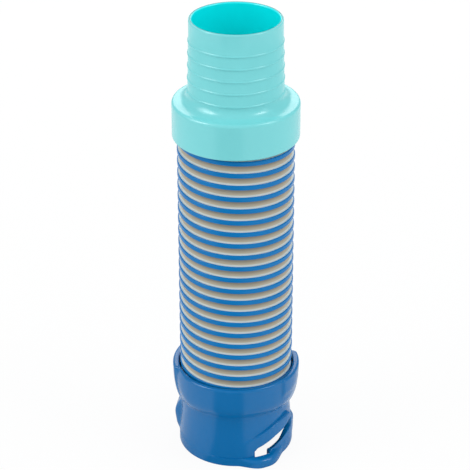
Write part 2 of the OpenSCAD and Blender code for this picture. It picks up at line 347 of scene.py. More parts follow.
class Finish(NodeTree):
    """A material while it is written, with the shader that it feeds."""

    def __init__(self, name, **shader_values):
        self.material = bpy.data.materials.new(name)
        self.material.use_nodes = True
        super().__init__(self.material.node_tree)
        self.shader = self.node("ShaderNodeBsdfPrincipled", {}, shader_values)
        self.output = self.node("ShaderNodeOutputMaterial", {}, {"Surface": self.shader.outputs[0]})
        self.place = self.node("ShaderNodeTexCoord", {}, {}).outputs["Object"]

    def noise(self, scale, detail):
        """Noise over the piece, as a number around 0.5. Scale is in lumps per metre."""
        inputs = {"Vector": self.place, "Scale": scale, "Detail": detail}
        return Number(self, self.node("ShaderNodeTexNoise", {}, inputs).outputs[0])

    def axes(self):
        """The X, Y and Z of a point on the piece, as numbers."""
        split = self.node("ShaderNodeSeparateXYZ", {}, {0: self.place})
        return [Number(self, socket) for socket in split.outputs]

    def between(self, low, high, number):
        """0 where a number is at or under low, and 1 where it is at or over high."""
        inputs = {"Value": number, "From Min": low, "From Max": high}
        return Number(self, self.node("ShaderNodeMapRange", {"clamp": True}, inputs).outputs[0])

    def mix(self, share, first, second):
        """Colour between two colours."""
        made = self.node("ShaderNodeMix", {"data_type": "RGBA"}, {0: share, 6: first, 7: second})
        return made.outputs[2]

    def vary(self, share, base, amount):
        """A colour that gets up to that much darker and lighter."""
        return self.mix(share, shade_of(base, 1 - amount), shade_of(base, 1 + amount))

    def bump(self, height, distance):
        """Feeds the shader's normal from a height, with its full depth in metres."""
        made = self.node("ShaderNodeBump", {}, {"Height": height, "Distance": distance})
        self.feed(self.shader.inputs["Normal"], made.outputs[0])

    def paint(self, shade, roughness):
        """Feeds the shader's colour and roughness."""
        self.feed(self.shader.inputs["Base Color"], shade)
        self.feed(self.shader.inputs["Roughness"], roughness)


def shade_of(base, factor):
    """A colour made lighter or darker by a factor."""
    return (*[min(1.0, part * factor) for part in base[:3]], 1.0)


def moulded_plastic(name, base, roughness, variation, gloss):
    """Injection-moulded plastic: a faint cloudiness, a soft waviness and a fine grain."""
    finish = Finish(name, Specular_IOR_Level=gloss)
    clouds = finish.noise(scale=55.0, detail=3.0)
    flow = finish.noise(scale=14.0, detail=2.0)
    share = finish.between(0.3, 0.7, clouds * 0.6 + flow * 0.4)
    finish.shade = finish.vary(share, base, variation)
    grain = finish.noise(scale=2600.0, detail=2.0)
    finish.paint(finish.shade, clouds * 0.08 + (roughness - 0.04))
    finish.bump(grain + flow * 3.0, distance=0.004 * MM)
    return finish


def aqua_plastic(base, bore, bore_radius):
    """Glossy aqua plastic of the spigot cuff, with a deeper turquoise painted down its bore for the
    light that bounces inside it.
    """
    finish = moulded_plastic("aqua_plastic", base, roughness=0.24, variation=0.02, gloss=0.55)
    x, y = finish.axes()[:2]
    radius = finish.maths("SQRT", x * x + y * y)
    # Painted bounce light: the bore's wall gets the deeper turquoise.
    inside = finish.between(bore_radius + BOUNCE_TINT_END, bore_radius + BOUNCE_TINT_FULL, radius)
    finish.feed(finish.shader.inputs["Base Color"], finish.mix(inside, finish.shade, bore))
    return finish.material


def cuff_plastic(base):
    """Glossy deep blue plastic of the twist-lock cuff."""
    return moulded_plastic("cuff_plastic", base, roughness=0.2, variation=0.04, gloss=0.38).material


def rib_plastic(base):
    """Glossy blue plastic of the rib, with faint streaks."""
    finish = Finish("rib_plastic", Specular_IOR_Level=0.2)
    streaks = finish.noise(scale=700.0, detail=2.0)
    share = finish.between(0.25, 0.75, finish.noise(scale=60.0, detail=3.0))
    finish.paint(finish.vary(share, base, 0.06), streaks * 0.06 + 0.2)
    finish.bump(streaks, distance=0.002 * MM)
    return finish.material


def wall_plastic(base, lip, shaded):
    """Satin grey plastic of the hose's wall, with a painted highlight on its lip and painted shade
    under the rib above.
    """
    finish = Finish("wall_plastic", Specular_IOR_Level=0.3)
    kind = {"attribute_type": "GEOMETRY", "attribute_name": GROOVE}
    groove = Number(finish, finish.node("ShaderNodeAttribute", kind, {}).outputs["Fac"])
    grain = finish.noise(scale=1500.0, detail=3.0)
    clouds = finish.noise(scale=80.0, detail=3.0)
    share = finish.between(0.25, 0.75, clouds * 0.7 + grain * 0.3)
    plastic = finish.vary(share, base, 0.05)
    # Painted shade under the rib above, placed by the groove attribute, with a little cloudiness.
    under = finish.between(0.42, 0.74, groove + clouds * 0.08)
    shaded_plastic = finish.mix(under, plastic, shaded)
    # Painted highlight: the lip over the rib below is painted pale.
    edge = finish.between(0.34, 0.25, groove)
    finish.paint(finish.mix(edge, shaded_plastic, lip), grain * 0.15 + 0.42)
    finish.bump(grain + clouds * 2.0, distance=0.01 * MM)
    return finish.material


def machined_acetal(name, base):
    """Acetal with the faint rings that a turning tool or a mould leaves."""
    finish = Finish(name, Specular_IOR_Level=0.5)
    x, y, z = finish.axes()
    grain = finish.noise(scale=1200.0, detail=2.0)
    radius = finish.maths("SQRT", x * x + y * y)
    rings = finish.maths("SINE", (radius + z) * TOOL_RINGS)
    share = finish.between(0.3, 0.7, grain)
    finish.paint(finish.vary(share, base, 0.1), grain * 0.1 + 0.33)
    finish.bump(rings + grain, distance=0.008 * MM)
    return finish.material


def seal_rubber(base):
    """Matt black rubber with a light bloom."""
    finish = Finish("seal_rubber", Specular_IOR_Level=0.35)
    grain = finish.noise(scale=2000.0, detail=3.0)
    bloom = finish.between(0.45, 0.75, finish.noise(scale=160.0, detail=4.0))
    finish.paint(finish.mix(bloom, base, shade_of(base, 1.9)), grain * 0.12 + 0.58)
    finish.bump(grain, distance=0.03 * MM)
    return finish.material


# ---- spigot ----

SPIGOT_COLUMNS = 180
COVE_STEPS = 9
COVE_CURVE = 0.85  # share of the cove's height that its curve takes
RING_HALF = 0.38  # mm, half the height of a grip ring
RING_COUNT = 5
UNDERCUT = 0.1  # mm, fine groove under a grip ring
ROOF = 1.8  # mm, from the gasket to the collar's top
LIP_FLAT = 0.02  # mm, half the flat between the mouth's two rounded edges


def ring_outline(height, upper, lower, out):
    """Points of one grip ring, from below upwards: a fine groove, a ridge and its slope."""
    return [
        (lower, height - RING_HALF - 0.35, 0),
        (lower - UNDERCUT, height - RING_HALF - 0.12, 0),
        (lower - UNDERCUT, height - RING_HALF, 0),
        (lower + out, height - RING_HALF * 0.7, 0),
        (lower + out, height + RING_HALF * 0.35, 0),
        (upper + out * 0.55, height + RING_HALF * 0.8, 0),
        (upper, height + RING_HALF * 1.3, 0),
    ]


def spigot_outline(sizes):
    """Half section of the spigot cuff, from the collar's foot up and back down its bore."""
    mouth = top_of("spigot_cuff") / MM
    foot = foot_of("spigot_cuff") / MM
    collar = radius_of("spigot_cuff") / MM
    nose = sizes.nose_radius / MM
    bore = nose - sizes.nose_wall / MM
    edge = sizes.collar_round / MM
    step = sizes.land_step / MM
    shoulder = foot + sizes.collar_height / MM
    cove = sizes.cove_height / MM
    socket = sizes.socket_radius / MM
    foot_land = nose + step * RING_COUNT
    cove_reach = collar - edge - foot_land
    corners = [(socket, foot, 0.25), (collar, foot, edge * 0.6), (collar, shoulder, edge)]
    for number in range(1, COVE_STEPS + 1):
        turn = math.pi / 2 * number / COVE_STEPS
        r = foot_land + cove_reach * (1 - math.sin(turn))
        corners.append((r, shoulder + cove * COVE_CURVE * (1 - math.cos(turn)), 0))
    for number in range(RING_COUNT, 0, -1):
        height = mouth - (sizes.lead_height + sizes.land_height * (number - 1)) / MM
        upper = nose + step * (number - 1)
        corners += ring_outline(height, upper, nose + step * number, sizes.ring_height / MM)
    lip = sizes.nose_wall / MM / 2 - LIP_FLAT
    gasket_top = shoulder - ROOF
    corners += [
        (nose, mouth, lip),
        (bore, mouth, lip),
        (bore, gasket_top, 0.4),
        (socket, gasket_top, 0.3),
    ]
    return rounded(corners)


# ---- hose ----

STEPS_PER_TURN = 72
RIB_ROOT = 0.3  # mm, how deep the rib sits in the wall
GROOVE = "groove"  # mesh attribute: 0 at one rib's middle, 1 at the next above it


def hose_turns(sizes):
    """Turns at which one piece of the hose ends and the next begins."""
    bend_turns = [
        sizes.turns_to_bend + sizes.turns_per_bend * number for number in range(len(BENDS))
    ]
    middles = [(low + high) / 2 for low, high in zip(bend_turns, bend_turns[1:])]
    return [0.0, *middles, rib_turn(sizes, top_of("rib_9") - sizes.rib_width / 2)]


def pitch_of(sizes):
    """Height of one turn of the rib, in metres."""
    return (BEND_HEIGHTS[-1] - BEND_HEIGHTS[0]) / (len(BENDS) - 1) / sizes.turns_per_bend


def rib_height_at(sizes, turn):
    """Height of the rib's centre line at a turn, in metres."""
    return BEND_HEIGHTS[0] + pitch_of(sizes) * (turn - sizes.turns_to_bend)


def rib_turn(sizes, height):
    """Turn at which the rib's centre line reaches a height."""
    return sizes.turns_to_bend + (height - BEND_HEIGHTS[0]) / pitch_of(sizes)


def wind(bm, verts, edges, sizes, start, end):
    """Sweeps an outline that is drawn at turn 0 along the left-handed rib, start to end."""
    steps = max(1, round((end - start) * STEPS_PER_TURN))
    angle = -FULL_TURN * (end - start)
    rise = pitch_of(sizes) * (end - start) / steps
    turn = Matrix.Rotation(-FULL_TURN * start, 4, "Z")
    lift = Matrix.Translation((0, 0, rib_height_at(sizes, start)))
    bmesh.ops.transform(bm, matrix=lift @ turn, verts=verts)
    spin(bm, verts, edges, steps, angle, rise)


def rib_piece(number, sizes, start, end, material):
    """One length of the blue rib, closed at both ends."""
    half = sizes.rib_width / MM / 2
    outer = sizes.outer_radius / MM
    root = outer - sizes.rib_height / MM - RIB_ROOT
    edge = sizes.rib_round / MM
    outline = rounded(
        [(root, -half, 0), (outer, -half, edge), (outer, half, edge), (root, half, 0)]
    )
    bm = bmesh.new()
    verts, edges = loop_of(bm, outline)
    wind(bm, verts, edges, sizes, start, end)
    rims = [side for side in bm.edges if side.is_boundary]
    bmesh.ops.holes_fill(bm, edges=rims, sides=0)
    return piece_from(bm, f"hose_rib_{number}", material)


def wall_outline(sizes):
    """Outside of the wall from one rib to the next above it.

    It rises from a lip that laps over the lower rib, and is deepest under the upper one.
    """
    pitch = pitch_of(sizes) / MM
    half = sizes.rib_width / MM / 2
    outer = (sizes.outer_radius - sizes.rib_height) / MM
    lip = outer + sizes.lip / MM
    dip = sizes.wall_dip / MM
    gap = pitch - 2 * half
    return [
        (outer, 0),
        (outer, half - 0.12),
        (lip, half - 0.06),
        (lip + 0.02, half + 0.06),
        (outer + 0.34 * (lip - outer), half + 0.16),
        (outer + 0.06 * (lip - outer), half + 0.38),
        (outer - dip * 0.2, half + gap * 0.3),
        (outer - dip * 0.5, half + gap * 0.5),
        (outer - dip * 0.8, half + gap * 0.7),
        (outer - dip * 0.97, half + gap * 0.88),
        (outer - dip, pitch - half - 0.03),
        (outer - dip, pitch - half + 0.1),
        (outer, pitch),
    ]


def whole_wall(sizes):
    """Mesh of the wall's inside and outside over more than its whole length, open at its ends."""
    pitch = pitch_of(sizes) / MM
    inner = (sizes.outer_radius - sizes.rib_height - sizes.wall) / MM
    first = math.floor(rib_turn(sizes, foot_of("hose_wall"))) - 1
    last = math.ceil(rib_turn(sizes, top_of("hose_wall")))
    bm = bmesh.new()
    for outline in (wall_outline(sizes), [(inner, 0), (inner, pitch)]):
        verts, edges = loop_of(bm, outline, closed=False)
        wind(bm, verts, edges, sizes, first, first + 1)
    one_turn = bm.verts[:] + bm.edges[:] + bm.faces[:]
    for turn in range(1, last - first):
        copy = bmesh.ops.duplicate(bm, geom=one_turn)["geom"]
        moved = [part for part in copy if isinstance(part, bmesh.types.BMVert)]
        bmesh.ops.translate(bm, vec=(0, 0, pitch * turn * MM), verts=moved)
    bmesh.ops.remove_doubles(bm, verts=bm.verts[:], dist=0.02 * MM)
    groove = bm.verts.layers.float.new(GROOVE)
    for vert in bm.verts:
        turned = math.atan2(vert.co.y, vert.co.x) / FULL_TURN
        vert[groove] = (rib_turn(sizes, vert.co.z) + turned) % 1
    mesh = bpy.data.meshes.new("whole_wall")
    bm.to_mesh(mesh)
    bm.free()
    return mesh


def cut_flat(bm, height, keep_above):
    """Cuts a tube flat at a height and keeps one side of it."""
    bmesh.ops.bisect_plane(
        bm, geom=bm.verts[:] + bm.edges[:] + bm.faces[:], dist=1e-7, plane_co=(0, 0, height),
        plane_no=(0, 0, 1), clear_inner=keep_above, clear_outer=not keep_above,
    )


def wall_piece(number, whole, sizes, start, end, material):
    """One length of the grey wall: a tube with a wound outside, flat and closed at its ends."""
    low = rib_height_at(sizes, start) if number > 1 else foot_of("hose_wall")
    high = rib_height_at(sizes, end) if number < len(BENDS) else top_of("hose_wall")
    bm = bmesh.new()
    bm.from_mesh(whole)
    cut_flat(bm, low, keep_above=True)
    cut_flat(bm, high, keep_above=False)
    for height in (low, high):
        rim = [e for e in bm.edges if e.is_boundary and abs(e.verts[0].co.z - height) < 1e-5]
        bmesh.ops.triangle_fill(
            bm, edges=rim, use_beauty=True, use_dissolve=False, normal=(0, 0, 1)
        )
    return piece_from(bm, f"hose_wall_{number}", material)


# ---- twist-lock cuff ----
# Lengths are in millimetres. Angles are in degrees, from the front towards the right for the
# front track, and from the back towards the left for the rear one.

COLUMNS = 360
COLUMN_STEP = 360 / COLUMNS
FIRST_COLUMN = COLUMN_STEP / 2
ROWS = (4, 4, 8, 7, 4, 12, 4, 7, 6, 10, 14, 8, 10, 5)  # in each stretch of the outside
SLOT_STRETCH = 5  # the stretch that the slot takes
SLOT_ROWS = ROWS[SLOT_STRETCH]
BORE_ROWS, CUP_ROWS, FOOT_ROWS = 4, 4, 5

ENTRY_START, ENTRY_END = 19.5, 36.5  # where a lug comes in
SLOT_END = 74
SLOT_LAST = SLOT_END - 0.5  # the last column that is open
SLOT_RADIUS = 24.5  # where the slot's length is measured
SLOT_EDGE = 0.45  # rounding of its outer edge
END_ROUND = 5.0  # angle of the half round at its end
LEAST_ROUND = 0.05  # keeps the last column open
ROOF_START, ROOF_END = 20, SLOT_END + 5
ROOF_HEIGHT, ROOF_CLIMB = 7.4, 0.15  # at the start, and per degree
SAG_START, SAG_END, SAG = 44, 56, 0.06  # between them the roof climbs less per degree
CORNER_START, CORNER_END, CORNER_DEPTH = 18.5, 23, 1.1  # the roof's first corner
RAIL_START, RAIL_HEIGHT = 38, 5  # the rail under the slot
RAIL_CLIMB, RAIL_FALL = 0.13, 0.05  # per degree, and what is lost past the slot
RAIL_STEP = 1.5  # half the angle from the lobe's top up to the rail
RAIL_BACK, BACK_RISE = 0.5, 6  # how far it stands back, and the angle in which it goes back
BACK_START, BACK_END = 56, 76  # where it comes forward again
FLOOR_HEIGHT, FLOOR_CLIMB = 4.2, 0.09  # the slot's floor where it meets the bore
FLOOR_BEND, BEND_CLIMB = 55.5, 0.16  # past the bend it climbs that much more
DROP_RISE = 3  # angle in which the floor's slope begins
DROP_START, DROP_END, LEAST_DROP = 66, 72, 0.3  # where that slope runs out, and what is left
BEHIND_START, BEHIND_END = 108, 172  # where the track's heights run back to their start

LOBE_START, LOBE_END = 0.5, 57
LOBE_RISE, LOBE_FALL = 24, 26
LOBE_TOP, LOBE_ROUND = 3.8, 2.0
LOBE_CROWN = 0.75  # most of a lobe's reach that its round top takes
LEDGE = 0.1  # between the lobe's top and the slot
POCKET_WALL = 3.2  # from the way in for a lug to the lobe's outside

BOSS_START, BOSS_RISE = 0.5, 30
BOSS_FOOT, BOSS_BROW = 0.2, 8.1  # heights of its lower and upper edge at its start
GROWTH_START, GROWTH_END = 50, 75
CLIMB_POWER = 0.85
LIFT_START, LIFT_END = 62, 90
SLOPE, SLOPE_START, SLOPE_END = 0.6, 55, 80  # height of the slopes to its edges
LEAST_BROW, LEAST_LINE = 1.2, 0.3  # least heights of the rows above the slot and the boss

NECK_HEIGHT = 18
NECK_DEPTH, NECK_HALF, NECK_UP = 0.1, 1.3, 0.2  # hollow between the barrel and the cup
GRIP_START, GRIP_END, GRIP_EDGE = 47, 106, 3
GRIP_FOOT, GRIP_FULL = 29.5, 33  # heights between which a grip comes out beside its middle
SIDE, SIDE_HALF = 90, 45  # the middle of a grip, and half of what it shapes
CUP_FOOT = 23.2  # where the cup begins in front
CUP_SAG, CUP_SAG_HALF = 2.2, 70  # it begins lower under a grip
GRIP_SAG, GRIP_SAG_HALF = 2.6, 22
FLARE, SIDE_FLARE = 3.0, 3.5  # height in which the cup comes out
FLARE_POWER, SIDE_POWER = 1.7, 0.6
CUP_FLARED = 5  # height of the rows that follow the flare
RELIEF_START, RELIEF_END, RELIEF_RISE = 105, 136, 3
RELIEF_HEIGHT = 4.2  # sloped relief beside a grip, which runs out along the rim
RELIEF_SLOPE = 0.26
RIM_ROUND, RIM_FLAT = 1.15, 0.15
MOUTH_BREAK = 0.2
FOOT_ROUND, FOOT_BREAK = 0.15, 0.3
WASHER_WIDTH = 1.07  # the cuff's floor has the thrust washers' bore
SEAL_GAP = 0.15


def rise(a, reach):
    """Quarter wave from 0 to 1 over an angle."""
    return math.sin(math.pi / 2 * min(1.0, max(0.0, a / reach)))


def wrapped(height, a):
    """A height function of the track, led back to its start behind the boss."""
    return height(a) + (height(0) - height(180)) * ease(BEHIND_START, BEHIND_END, a)


class Boss(NamedTuple):
    """The raised boss around one slot."""

    end: float  # where it has sunk back into the barrel
    fall: float  # angle over which it sinks
    reach: float  # share of the cuff's setting that it stands out
    growth: float  # what its end adds to that
    climb: float  # how far its upper edge climbs
    climb_end: float
    drop: float  # and how far that edge drops again
    drop_start: float
    drop_end: float
    lift: float  # how far its lower edge lifts off the cuff's foot
    slope: float  # what its end adds to its upper slope's height,
    foot_slope: float  # and to its lower slope's

    def edge(self, a):
        """Height of the upper edge, before it is led back."""
        climb = self.climb * rise(a, self.climb_end) ** CLIMB_POWER
        return BOSS_BROW + climb - self.drop * ease(self.drop_start, self.drop_end, a)

    def top(self, a):
        """Height of the upper edge."""
        return wrapped(self.edge, a)

    def low(self, a):
        """Height of the lower edge."""
        return BOSS_FOOT + self.lift * ease(LIFT_START, LIFT_END, a)

    def share(self, a):
        """How far the boss stands out at an angle, as a share of its full reach."""
        growth = self.growth * ease(GROWTH_START, GROWTH_END, a)
        return swell(BOSS_START, self.end, BOSS_RISE, self.fall, a) * (self.reach + growth)


FRONT_BOSS = Boss(
    end=106, fall=14, reach=0.7, growth=0.3, climb=10.0, climb_end=63,
    drop=7.5, drop_start=68, drop_end=84, lift=6.3, slope=0, foot_slope=0,
)
REAR_BOSS = Boss(
    end=91, fall=9, reach=2.9, growth=0, climb=9.5, climb_end=70,
    drop=0.6, drop_start=90, drop_end=106, lift=1.0, slope=8.4, foot_slope=3.6,
)
BOSSES = (FRONT_BOSS, REAR_BOSS)  # half a turn apart


def slope_height(added, a):
    """Height of the slope from the barrel out to a boss's edge."""
    return SLOPE + added * ease(SLOPE_START, SLOPE_END, a)


def slot_roof(a):
    """Height of the slot's roof, before it closes at its end."""
    held = min(max(a, ROOF_START), ROOF_END)
    sag = SAG * (max(0, held - SAG_END) - max(0, held - SAG_START))
    corner = CORNER_DEPTH * (1 - ease(CORNER_START, CORNER_END, a))
    return ROOF_HEIGHT + ROOF_CLIMB * (held - ROOF_START) + sag - corner


def slot_rail(a):
    """Height of the rail under the slot."""
    return RAIL_HEIGHT + RAIL_CLIMB * (a - RAIL_START) - RAIL_FALL * max(0, a - SLOT_END)


def slot_closing(a):
    """How much the slot closes from above and from below, in a half round at its end."""
    past = max(0.0, a - (SLOT_END - END_ROUND)) / END_ROUND
    share = math.sqrt(max(LEAST_ROUND, 1 - past * past)) if a < SLOT_END else 1.0
    return (1 - share) * (slot_roof(a) - slot_rail(a)) / 2


def slot_top(a):
    """Upper edge of the slot."""
    return wrapped(slot_roof, a) - slot_closing(a)


def slot_low(a):
    """Outer lower edge of the slot: the lobe's top at the way in, and the rail past it."""
    share = ease(ENTRY_END - RAIL_STEP, ENTRY_END + RAIL_STEP, a)
    share *= 1 - ease(BEHIND_START, BEHIND_END, a)
    return LOBE_TOP + (slot_rail(a) + slot_closing(a) - LOBE_TOP) * share


def slot_low_inside(a):
    """Inner lower edge of the slot: its floor slopes down into the bore, most at the way in."""
    bend = BEND_CLIMB * max(0, a - FLOOR_BEND)
    floor = FLOOR_HEIGHT + FLOOR_CLIMB * (a - ENTRY_END) + bend
    drop = max(LEAST_DROP, slot_low(a) - floor) * ease(ENTRY_END, ENTRY_END + DROP_RISE, a)
    return slot_low(a) - max(LEAST_DROP, drop * (1 - ease(DROP_START, DROP_END, a)))


def slot_reach(a, z):
    """Distance from a point to the slot, along the wall."""
    beside = math.radians(max(a - SLOT_LAST, ENTRY_START - a)) * SLOT_RADIUS
    return max(z - slot_top(a), slot_low(a) - z, beside)


def cup_line(a):
    """Height at which the cup begins: level in front, and lower under the grips."""
    side = abs(a - SIDE)
    sag = CUP_SAG * (1 - ease(0, CUP_SAG_HALF, side))
    return CUP_FOOT - sag - GRIP_SAG * (1 - ease(0, GRIP_SAG_HALF, side))


def quarter(radius, distance):
    """How far a rounded edge of that radius lies under its flat, at a distance from the end."""
    if distance >= radius:
        return 0.0
    back = 1 - max(0.0, distance) / radius
    return radius * (1 - math.sqrt(1 - back * back))


class CuffForm:
    """Outline of the twist-lock cuff at any angle."""

    def __init__(self, sizes):
        self.foot = sizes.foot_radius / MM
        self.draft = sizes.draft / MM
        self.bore = sizes.bore_radius / MM
        self.chamber = sizes.chamber_radius / MM
        self.cup = sizes.cup_radius / MM
        self.cup_bore = self.cup - sizes.cup_wall / MM
        self.grip_out = sizes.grip_out / MM
        self.boss_out = sizes.boss_out / MM
        self.lobe_out = sizes.lobe_out / MM
        self.rim = top_of("twist_lock_cuff") / MM
        self.floor_low = top_of("lower_thrust_washer") / MM
        self.floor_top = foot_of("upper_thrust_washer") / MM
        self.floor_bore = radius_of("lower_thrust_washer") / MM - WASHER_WIDTH
        self.chamber_low = foot_of("face_seal") / MM - SEAL_GAP

    def barrel(self, z, a=0):
        """Radius of the plain barrel, with the hollow under the cup."""
        neck = NECK_DEPTH * math.exp(-(((z - cup_line(a) - NECK_UP) / NECK_HALF) ** 2))
        return self.foot - self.draft * min(1.0, z / NECK_HEIGHT) - neck

    def cup_reach(self, a, z):
        """How far the cup stands out from the barrel."""
        above = z - cup_line(a)
        if above <= 0:
            return 0.0
        side = 1 - ease(0, SIDE_HALF, abs(a - SIDE))
        out = ease(GRIP_FOOT, GRIP_FULL, z)
        grip = self.grip_out * swell(GRIP_START, GRIP_END, GRIP_EDGE, GRIP_EDGE, a)
        grip *= out + side * (1 - out)
        full = self.cup - self.barrel(z, a) + grip
        flared = (above / (FLARE + SIDE_FLARE * side)) ** (FLARE_POWER - SIDE_POWER * side)
        return full * (1 - math.exp(-flared))

    def boss_reach(self, a, z, boss):
        """How far a boss stands out from the barrel."""
        face = (self.foot + self.boss_out - self.barrel(z)) * boss.share(a)
        if z < slot_low(a):
            back = RAIL_BACK * ease(ENTRY_END, ENTRY_END + BACK_RISE, a)
            face -= back * (1 - ease(BACK_START, BACK_END, a))
        under = (z - boss.low(a) + BOSS_FOOT) / slope_height(boss.foot_slope, a)
        over = (boss.top(a) - z) / slope_height(boss.slope, a)
        return face * rise(under, 1.0) * rise(over, 1.0)

    def relief(self, a, z):
        """How deep the relief beside a grip is."""
        left = RELIEF_HEIGHT * (1 - ease(RELIEF_START + RELIEF_RISE, RELIEF_END, a))
        left *= ease(RELIEF_START, RELIEF_START + RELIEF_RISE, a)
        return RELIEF_SLOPE * max(0.0, z - self.rim + left)

    def outside(self, a, z, boss):
        """Outer radius at an angle and a height."""
        r = self.barrel(z, a) + max(self.cup_reach(a, z), self.boss_reach(a, z, boss))
        if z <= LOBE_TOP:
            lobe = self.lobe_out * swell(LOBE_START, LOBE_END, LOBE_RISE, LOBE_FALL, a)
            crown = min(LOBE_ROUND, LOBE_CROWN * lobe)
            r = max(r, self.foot + lobe - crown * quarter(1.0, (LOBE_TOP - z) / LOBE_ROUND))
        r -= quarter(FOOT_ROUND, z) + quarter(RIM_ROUND, self.rim - z)
        if z > self.rim - RELIEF_HEIGHT:
            r = max(r - self.relief(a, z), self.cup_bore + MOUTH_BREAK + RIM_FLAT)
        if ENTRY_END < a < ROOF_END or z > LOBE_TOP + LEDGE:
            r -= quarter(SLOT_EDGE, slot_reach(a, z))
        return r

    def inside(self, a):
        """Radius below the slot: the bore's, or that of the way in for a lug."""
        entry = ENTRY_START <= a < ENTRY_END
        return self.foot + self.lobe_out - POCKET_WALL if entry else self.bore

    def heights(self, a, boss):
        """Outer heights of the section's rows, foot to rim."""
        low = max(LOBE_TOP + LEDGE, slot_low(a))
        ledge = max(LOBE_TOP + LEDGE / 2, low - SLOT_EDGE)
        top = slot_top(a)
        brow = max(top + LEAST_BROW, boss.top(a) - slope_height(boss.slope, a))
        crest = max(brow + SLOPE, boss.top(a))
        line = max(crest + LEAST_LINE, cup_line(a))
        ends = [
            0.0, FOOT_ROUND, LOBE_TOP - LOBE_ROUND, LOBE_TOP, ledge, low, top, top + SLOT_EDGE,
            brow, crest, line, line + CUP_FLARED,
            self.rim - RELIEF_HEIGHT, self.rim - RIM_ROUND, self.rim,
        ]
        stretches = zip(ends, ends[1:], ROWS)
        return [z for stretch in stretches for z in evenly(*stretch)] + [self.rim]


def evenly(start, end, count):
    """Heights from start on, in equal steps towards an end that is left out."""
    return [start + (end - start) * row / count for row in range(count)]


def swivel_seat(form):
    """The section's inside from the rim down to the bore, alike at every angle."""
    cup_top = form.rim - MOUTH_BREAK - 0.1
    cup_foot = form.floor_top + 0.3
    return [
        (form.cup_bore + MOUTH_BREAK, form.rim),
        (form.cup_bore + 0.1, form.rim - MOUTH_BREAK + 0.1),
        *[(form.cup_bore, z) for z in evenly(cup_top, cup_foot, CUP_ROWS)],
        (form.cup_bore, cup_foot),
        (form.cup_bore - 0.3, form.floor_top),
        (form.floor_bore + 0.3, form.floor_top),
        (form.floor_bore, form.floor_top - 0.3),
        (form.floor_bore, form.floor_low + 0.2),
        (form.floor_bore + 0.2, form.floor_low),
        (form.chamber - 0.2, form.floor_low),
        (form.chamber, form.floor_low - 0.2),
        (form.chamber, form.chamber_low + 0.1),
        (form.bore, form.chamber_low - 0.3),
    ]


def cuff_section(form, a, boss):
    """The cuff's section at an angle: points from the foot up the outside and down the inside."""
    roof = slot_top(a)
    floor = slot_low_inside(a)
    inside = form.inside(a)
    slot = evenly(roof, floor, SLOT_ROWS)
    return [
        *[(form.outside(a, z, boss), z) for z in form.heights(a, boss)],
        *swivel_seat(form),
        *[(form.bore, z) for z in evenly(form.chamber_low - 0.5, roof, BORE_ROWS)],
        *[(form.bore if z > LOBE_TOP else inside, z) for z in slot],
        *[(inside, z) for z in evenly(floor, FOOT_BREAK, FOOT_ROWS)],
        (inside, FOOT_BREAK),
        (inside + FOOT_BREAK, 0),
    ]


def slot_rows(form):
    """The outer and the inner row of the section from which the slot is cut."""
    return sum(ROWS[:SLOT_STRETCH]), sum(ROWS) + 1 + len(swivel_seat(form)) + BORE_ROWS


def cuff_piece(sizes, material):
    """The twist-lock cuff: a turned section, reshaped at each angle, with two slots cut."""
    form = CuffForm(sizes)
    sections = []
    for column in range(COLUMNS):
        half, a = divmod(FIRST_COLUMN + COLUMN_STEP * column, 180)
        sections.append(cuff_section(form, a, BOSSES[int(half)]))
    bm = bmesh.new()
    row_of = bm.verts.layers.int.new("row")
    column_of = bm.verts.layers.int.new("column")
    verts, edges = loop_of(bm, sections[0])
    for row, vert in enumerate(verts):
        vert[row_of] = row
    spin(bm, verts, edges, COLUMNS)
    for vert in bm.verts:
        turned = math.degrees(math.atan2(vert.co.y, vert.co.x))
        column = round(turned / COLUMN_STEP) % COLUMNS
        vert[column_of] = column
        r, z = sections[column][vert[row_of]]
        a = math.radians(FIRST_COLUMN + COLUMN_STEP * column)
        vert.co = Vector((r * math.sin(a), -r * math.cos(a), z)) * MM
    cut_slots(bm, form, row_of, column_of)
    return piece_from(bm, "twist_lock_cuff_shell", material, smooth_angle=50)


def cut_slots(bm, form, row_of, column_of):
    """Opens both slots through the wall and closes the wall's edges around them."""
    outer_row, inner_row = slot_rows(form)
    first = round((ENTRY_START - FIRST_COLUMN) / COLUMN_STEP)
    last = round((SLOT_LAST - FIRST_COLUMN) / COLUMN_STEP)

    def inside_block(face, row, turned):
        rows = [vert[row_of] for vert in face.verts]
        columns = [(vert[column_of] - turned) % COLUMNS for vert in face.verts]
        in_rows = row <= min(rows) and max(rows) <= row + SLOT_ROWS
        return in_rows and first <= min(columns) and max(columns) <= last

    for turned in (0, COLUMNS // 2):
        block = [
            face for face in bm.faces
            if inside_block(face, outer_row, turned) or inside_block(face, inner_row, turned)
        ]
        bmesh.ops.delete(bm, geom=block, context="FACES")
        rim = [edge for edge in bm.edges if edge.is_boundary]
        bmesh.ops.bridge_loops(bm, edges=rim)


# ---- operators ----


def settings():
    """The scene's settings."""
    return bpy.context.scene.pool_hose


class MakeSpigot(bpy.types.Operator):
    """Builds the aqua spigot cuff at the upper end of the hose"""

    bl_idname = "pool_hose.make_spigot"
    bl_label = "Spigot cuff"

    def execute(self, context):
        chosen = settings()
        sizes = chosen.spigot
        bore_radius = sizes.nose_radius - sizes.nose_wall
        aqua = aqua_plastic(chosen.finish.aqua, chosen.finish.bore, bore_radius)
        bm = bmesh.new()
        spin(bm, *loop_of(bm, spigot_outline(sizes)), SPIGOT_COLUMNS)
        piece = piece_from(bm, "spigot_cuff_shell", aqua)
        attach(piece, "spigot")
        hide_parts("spigot_cuff")
        return {"FINISHED"}


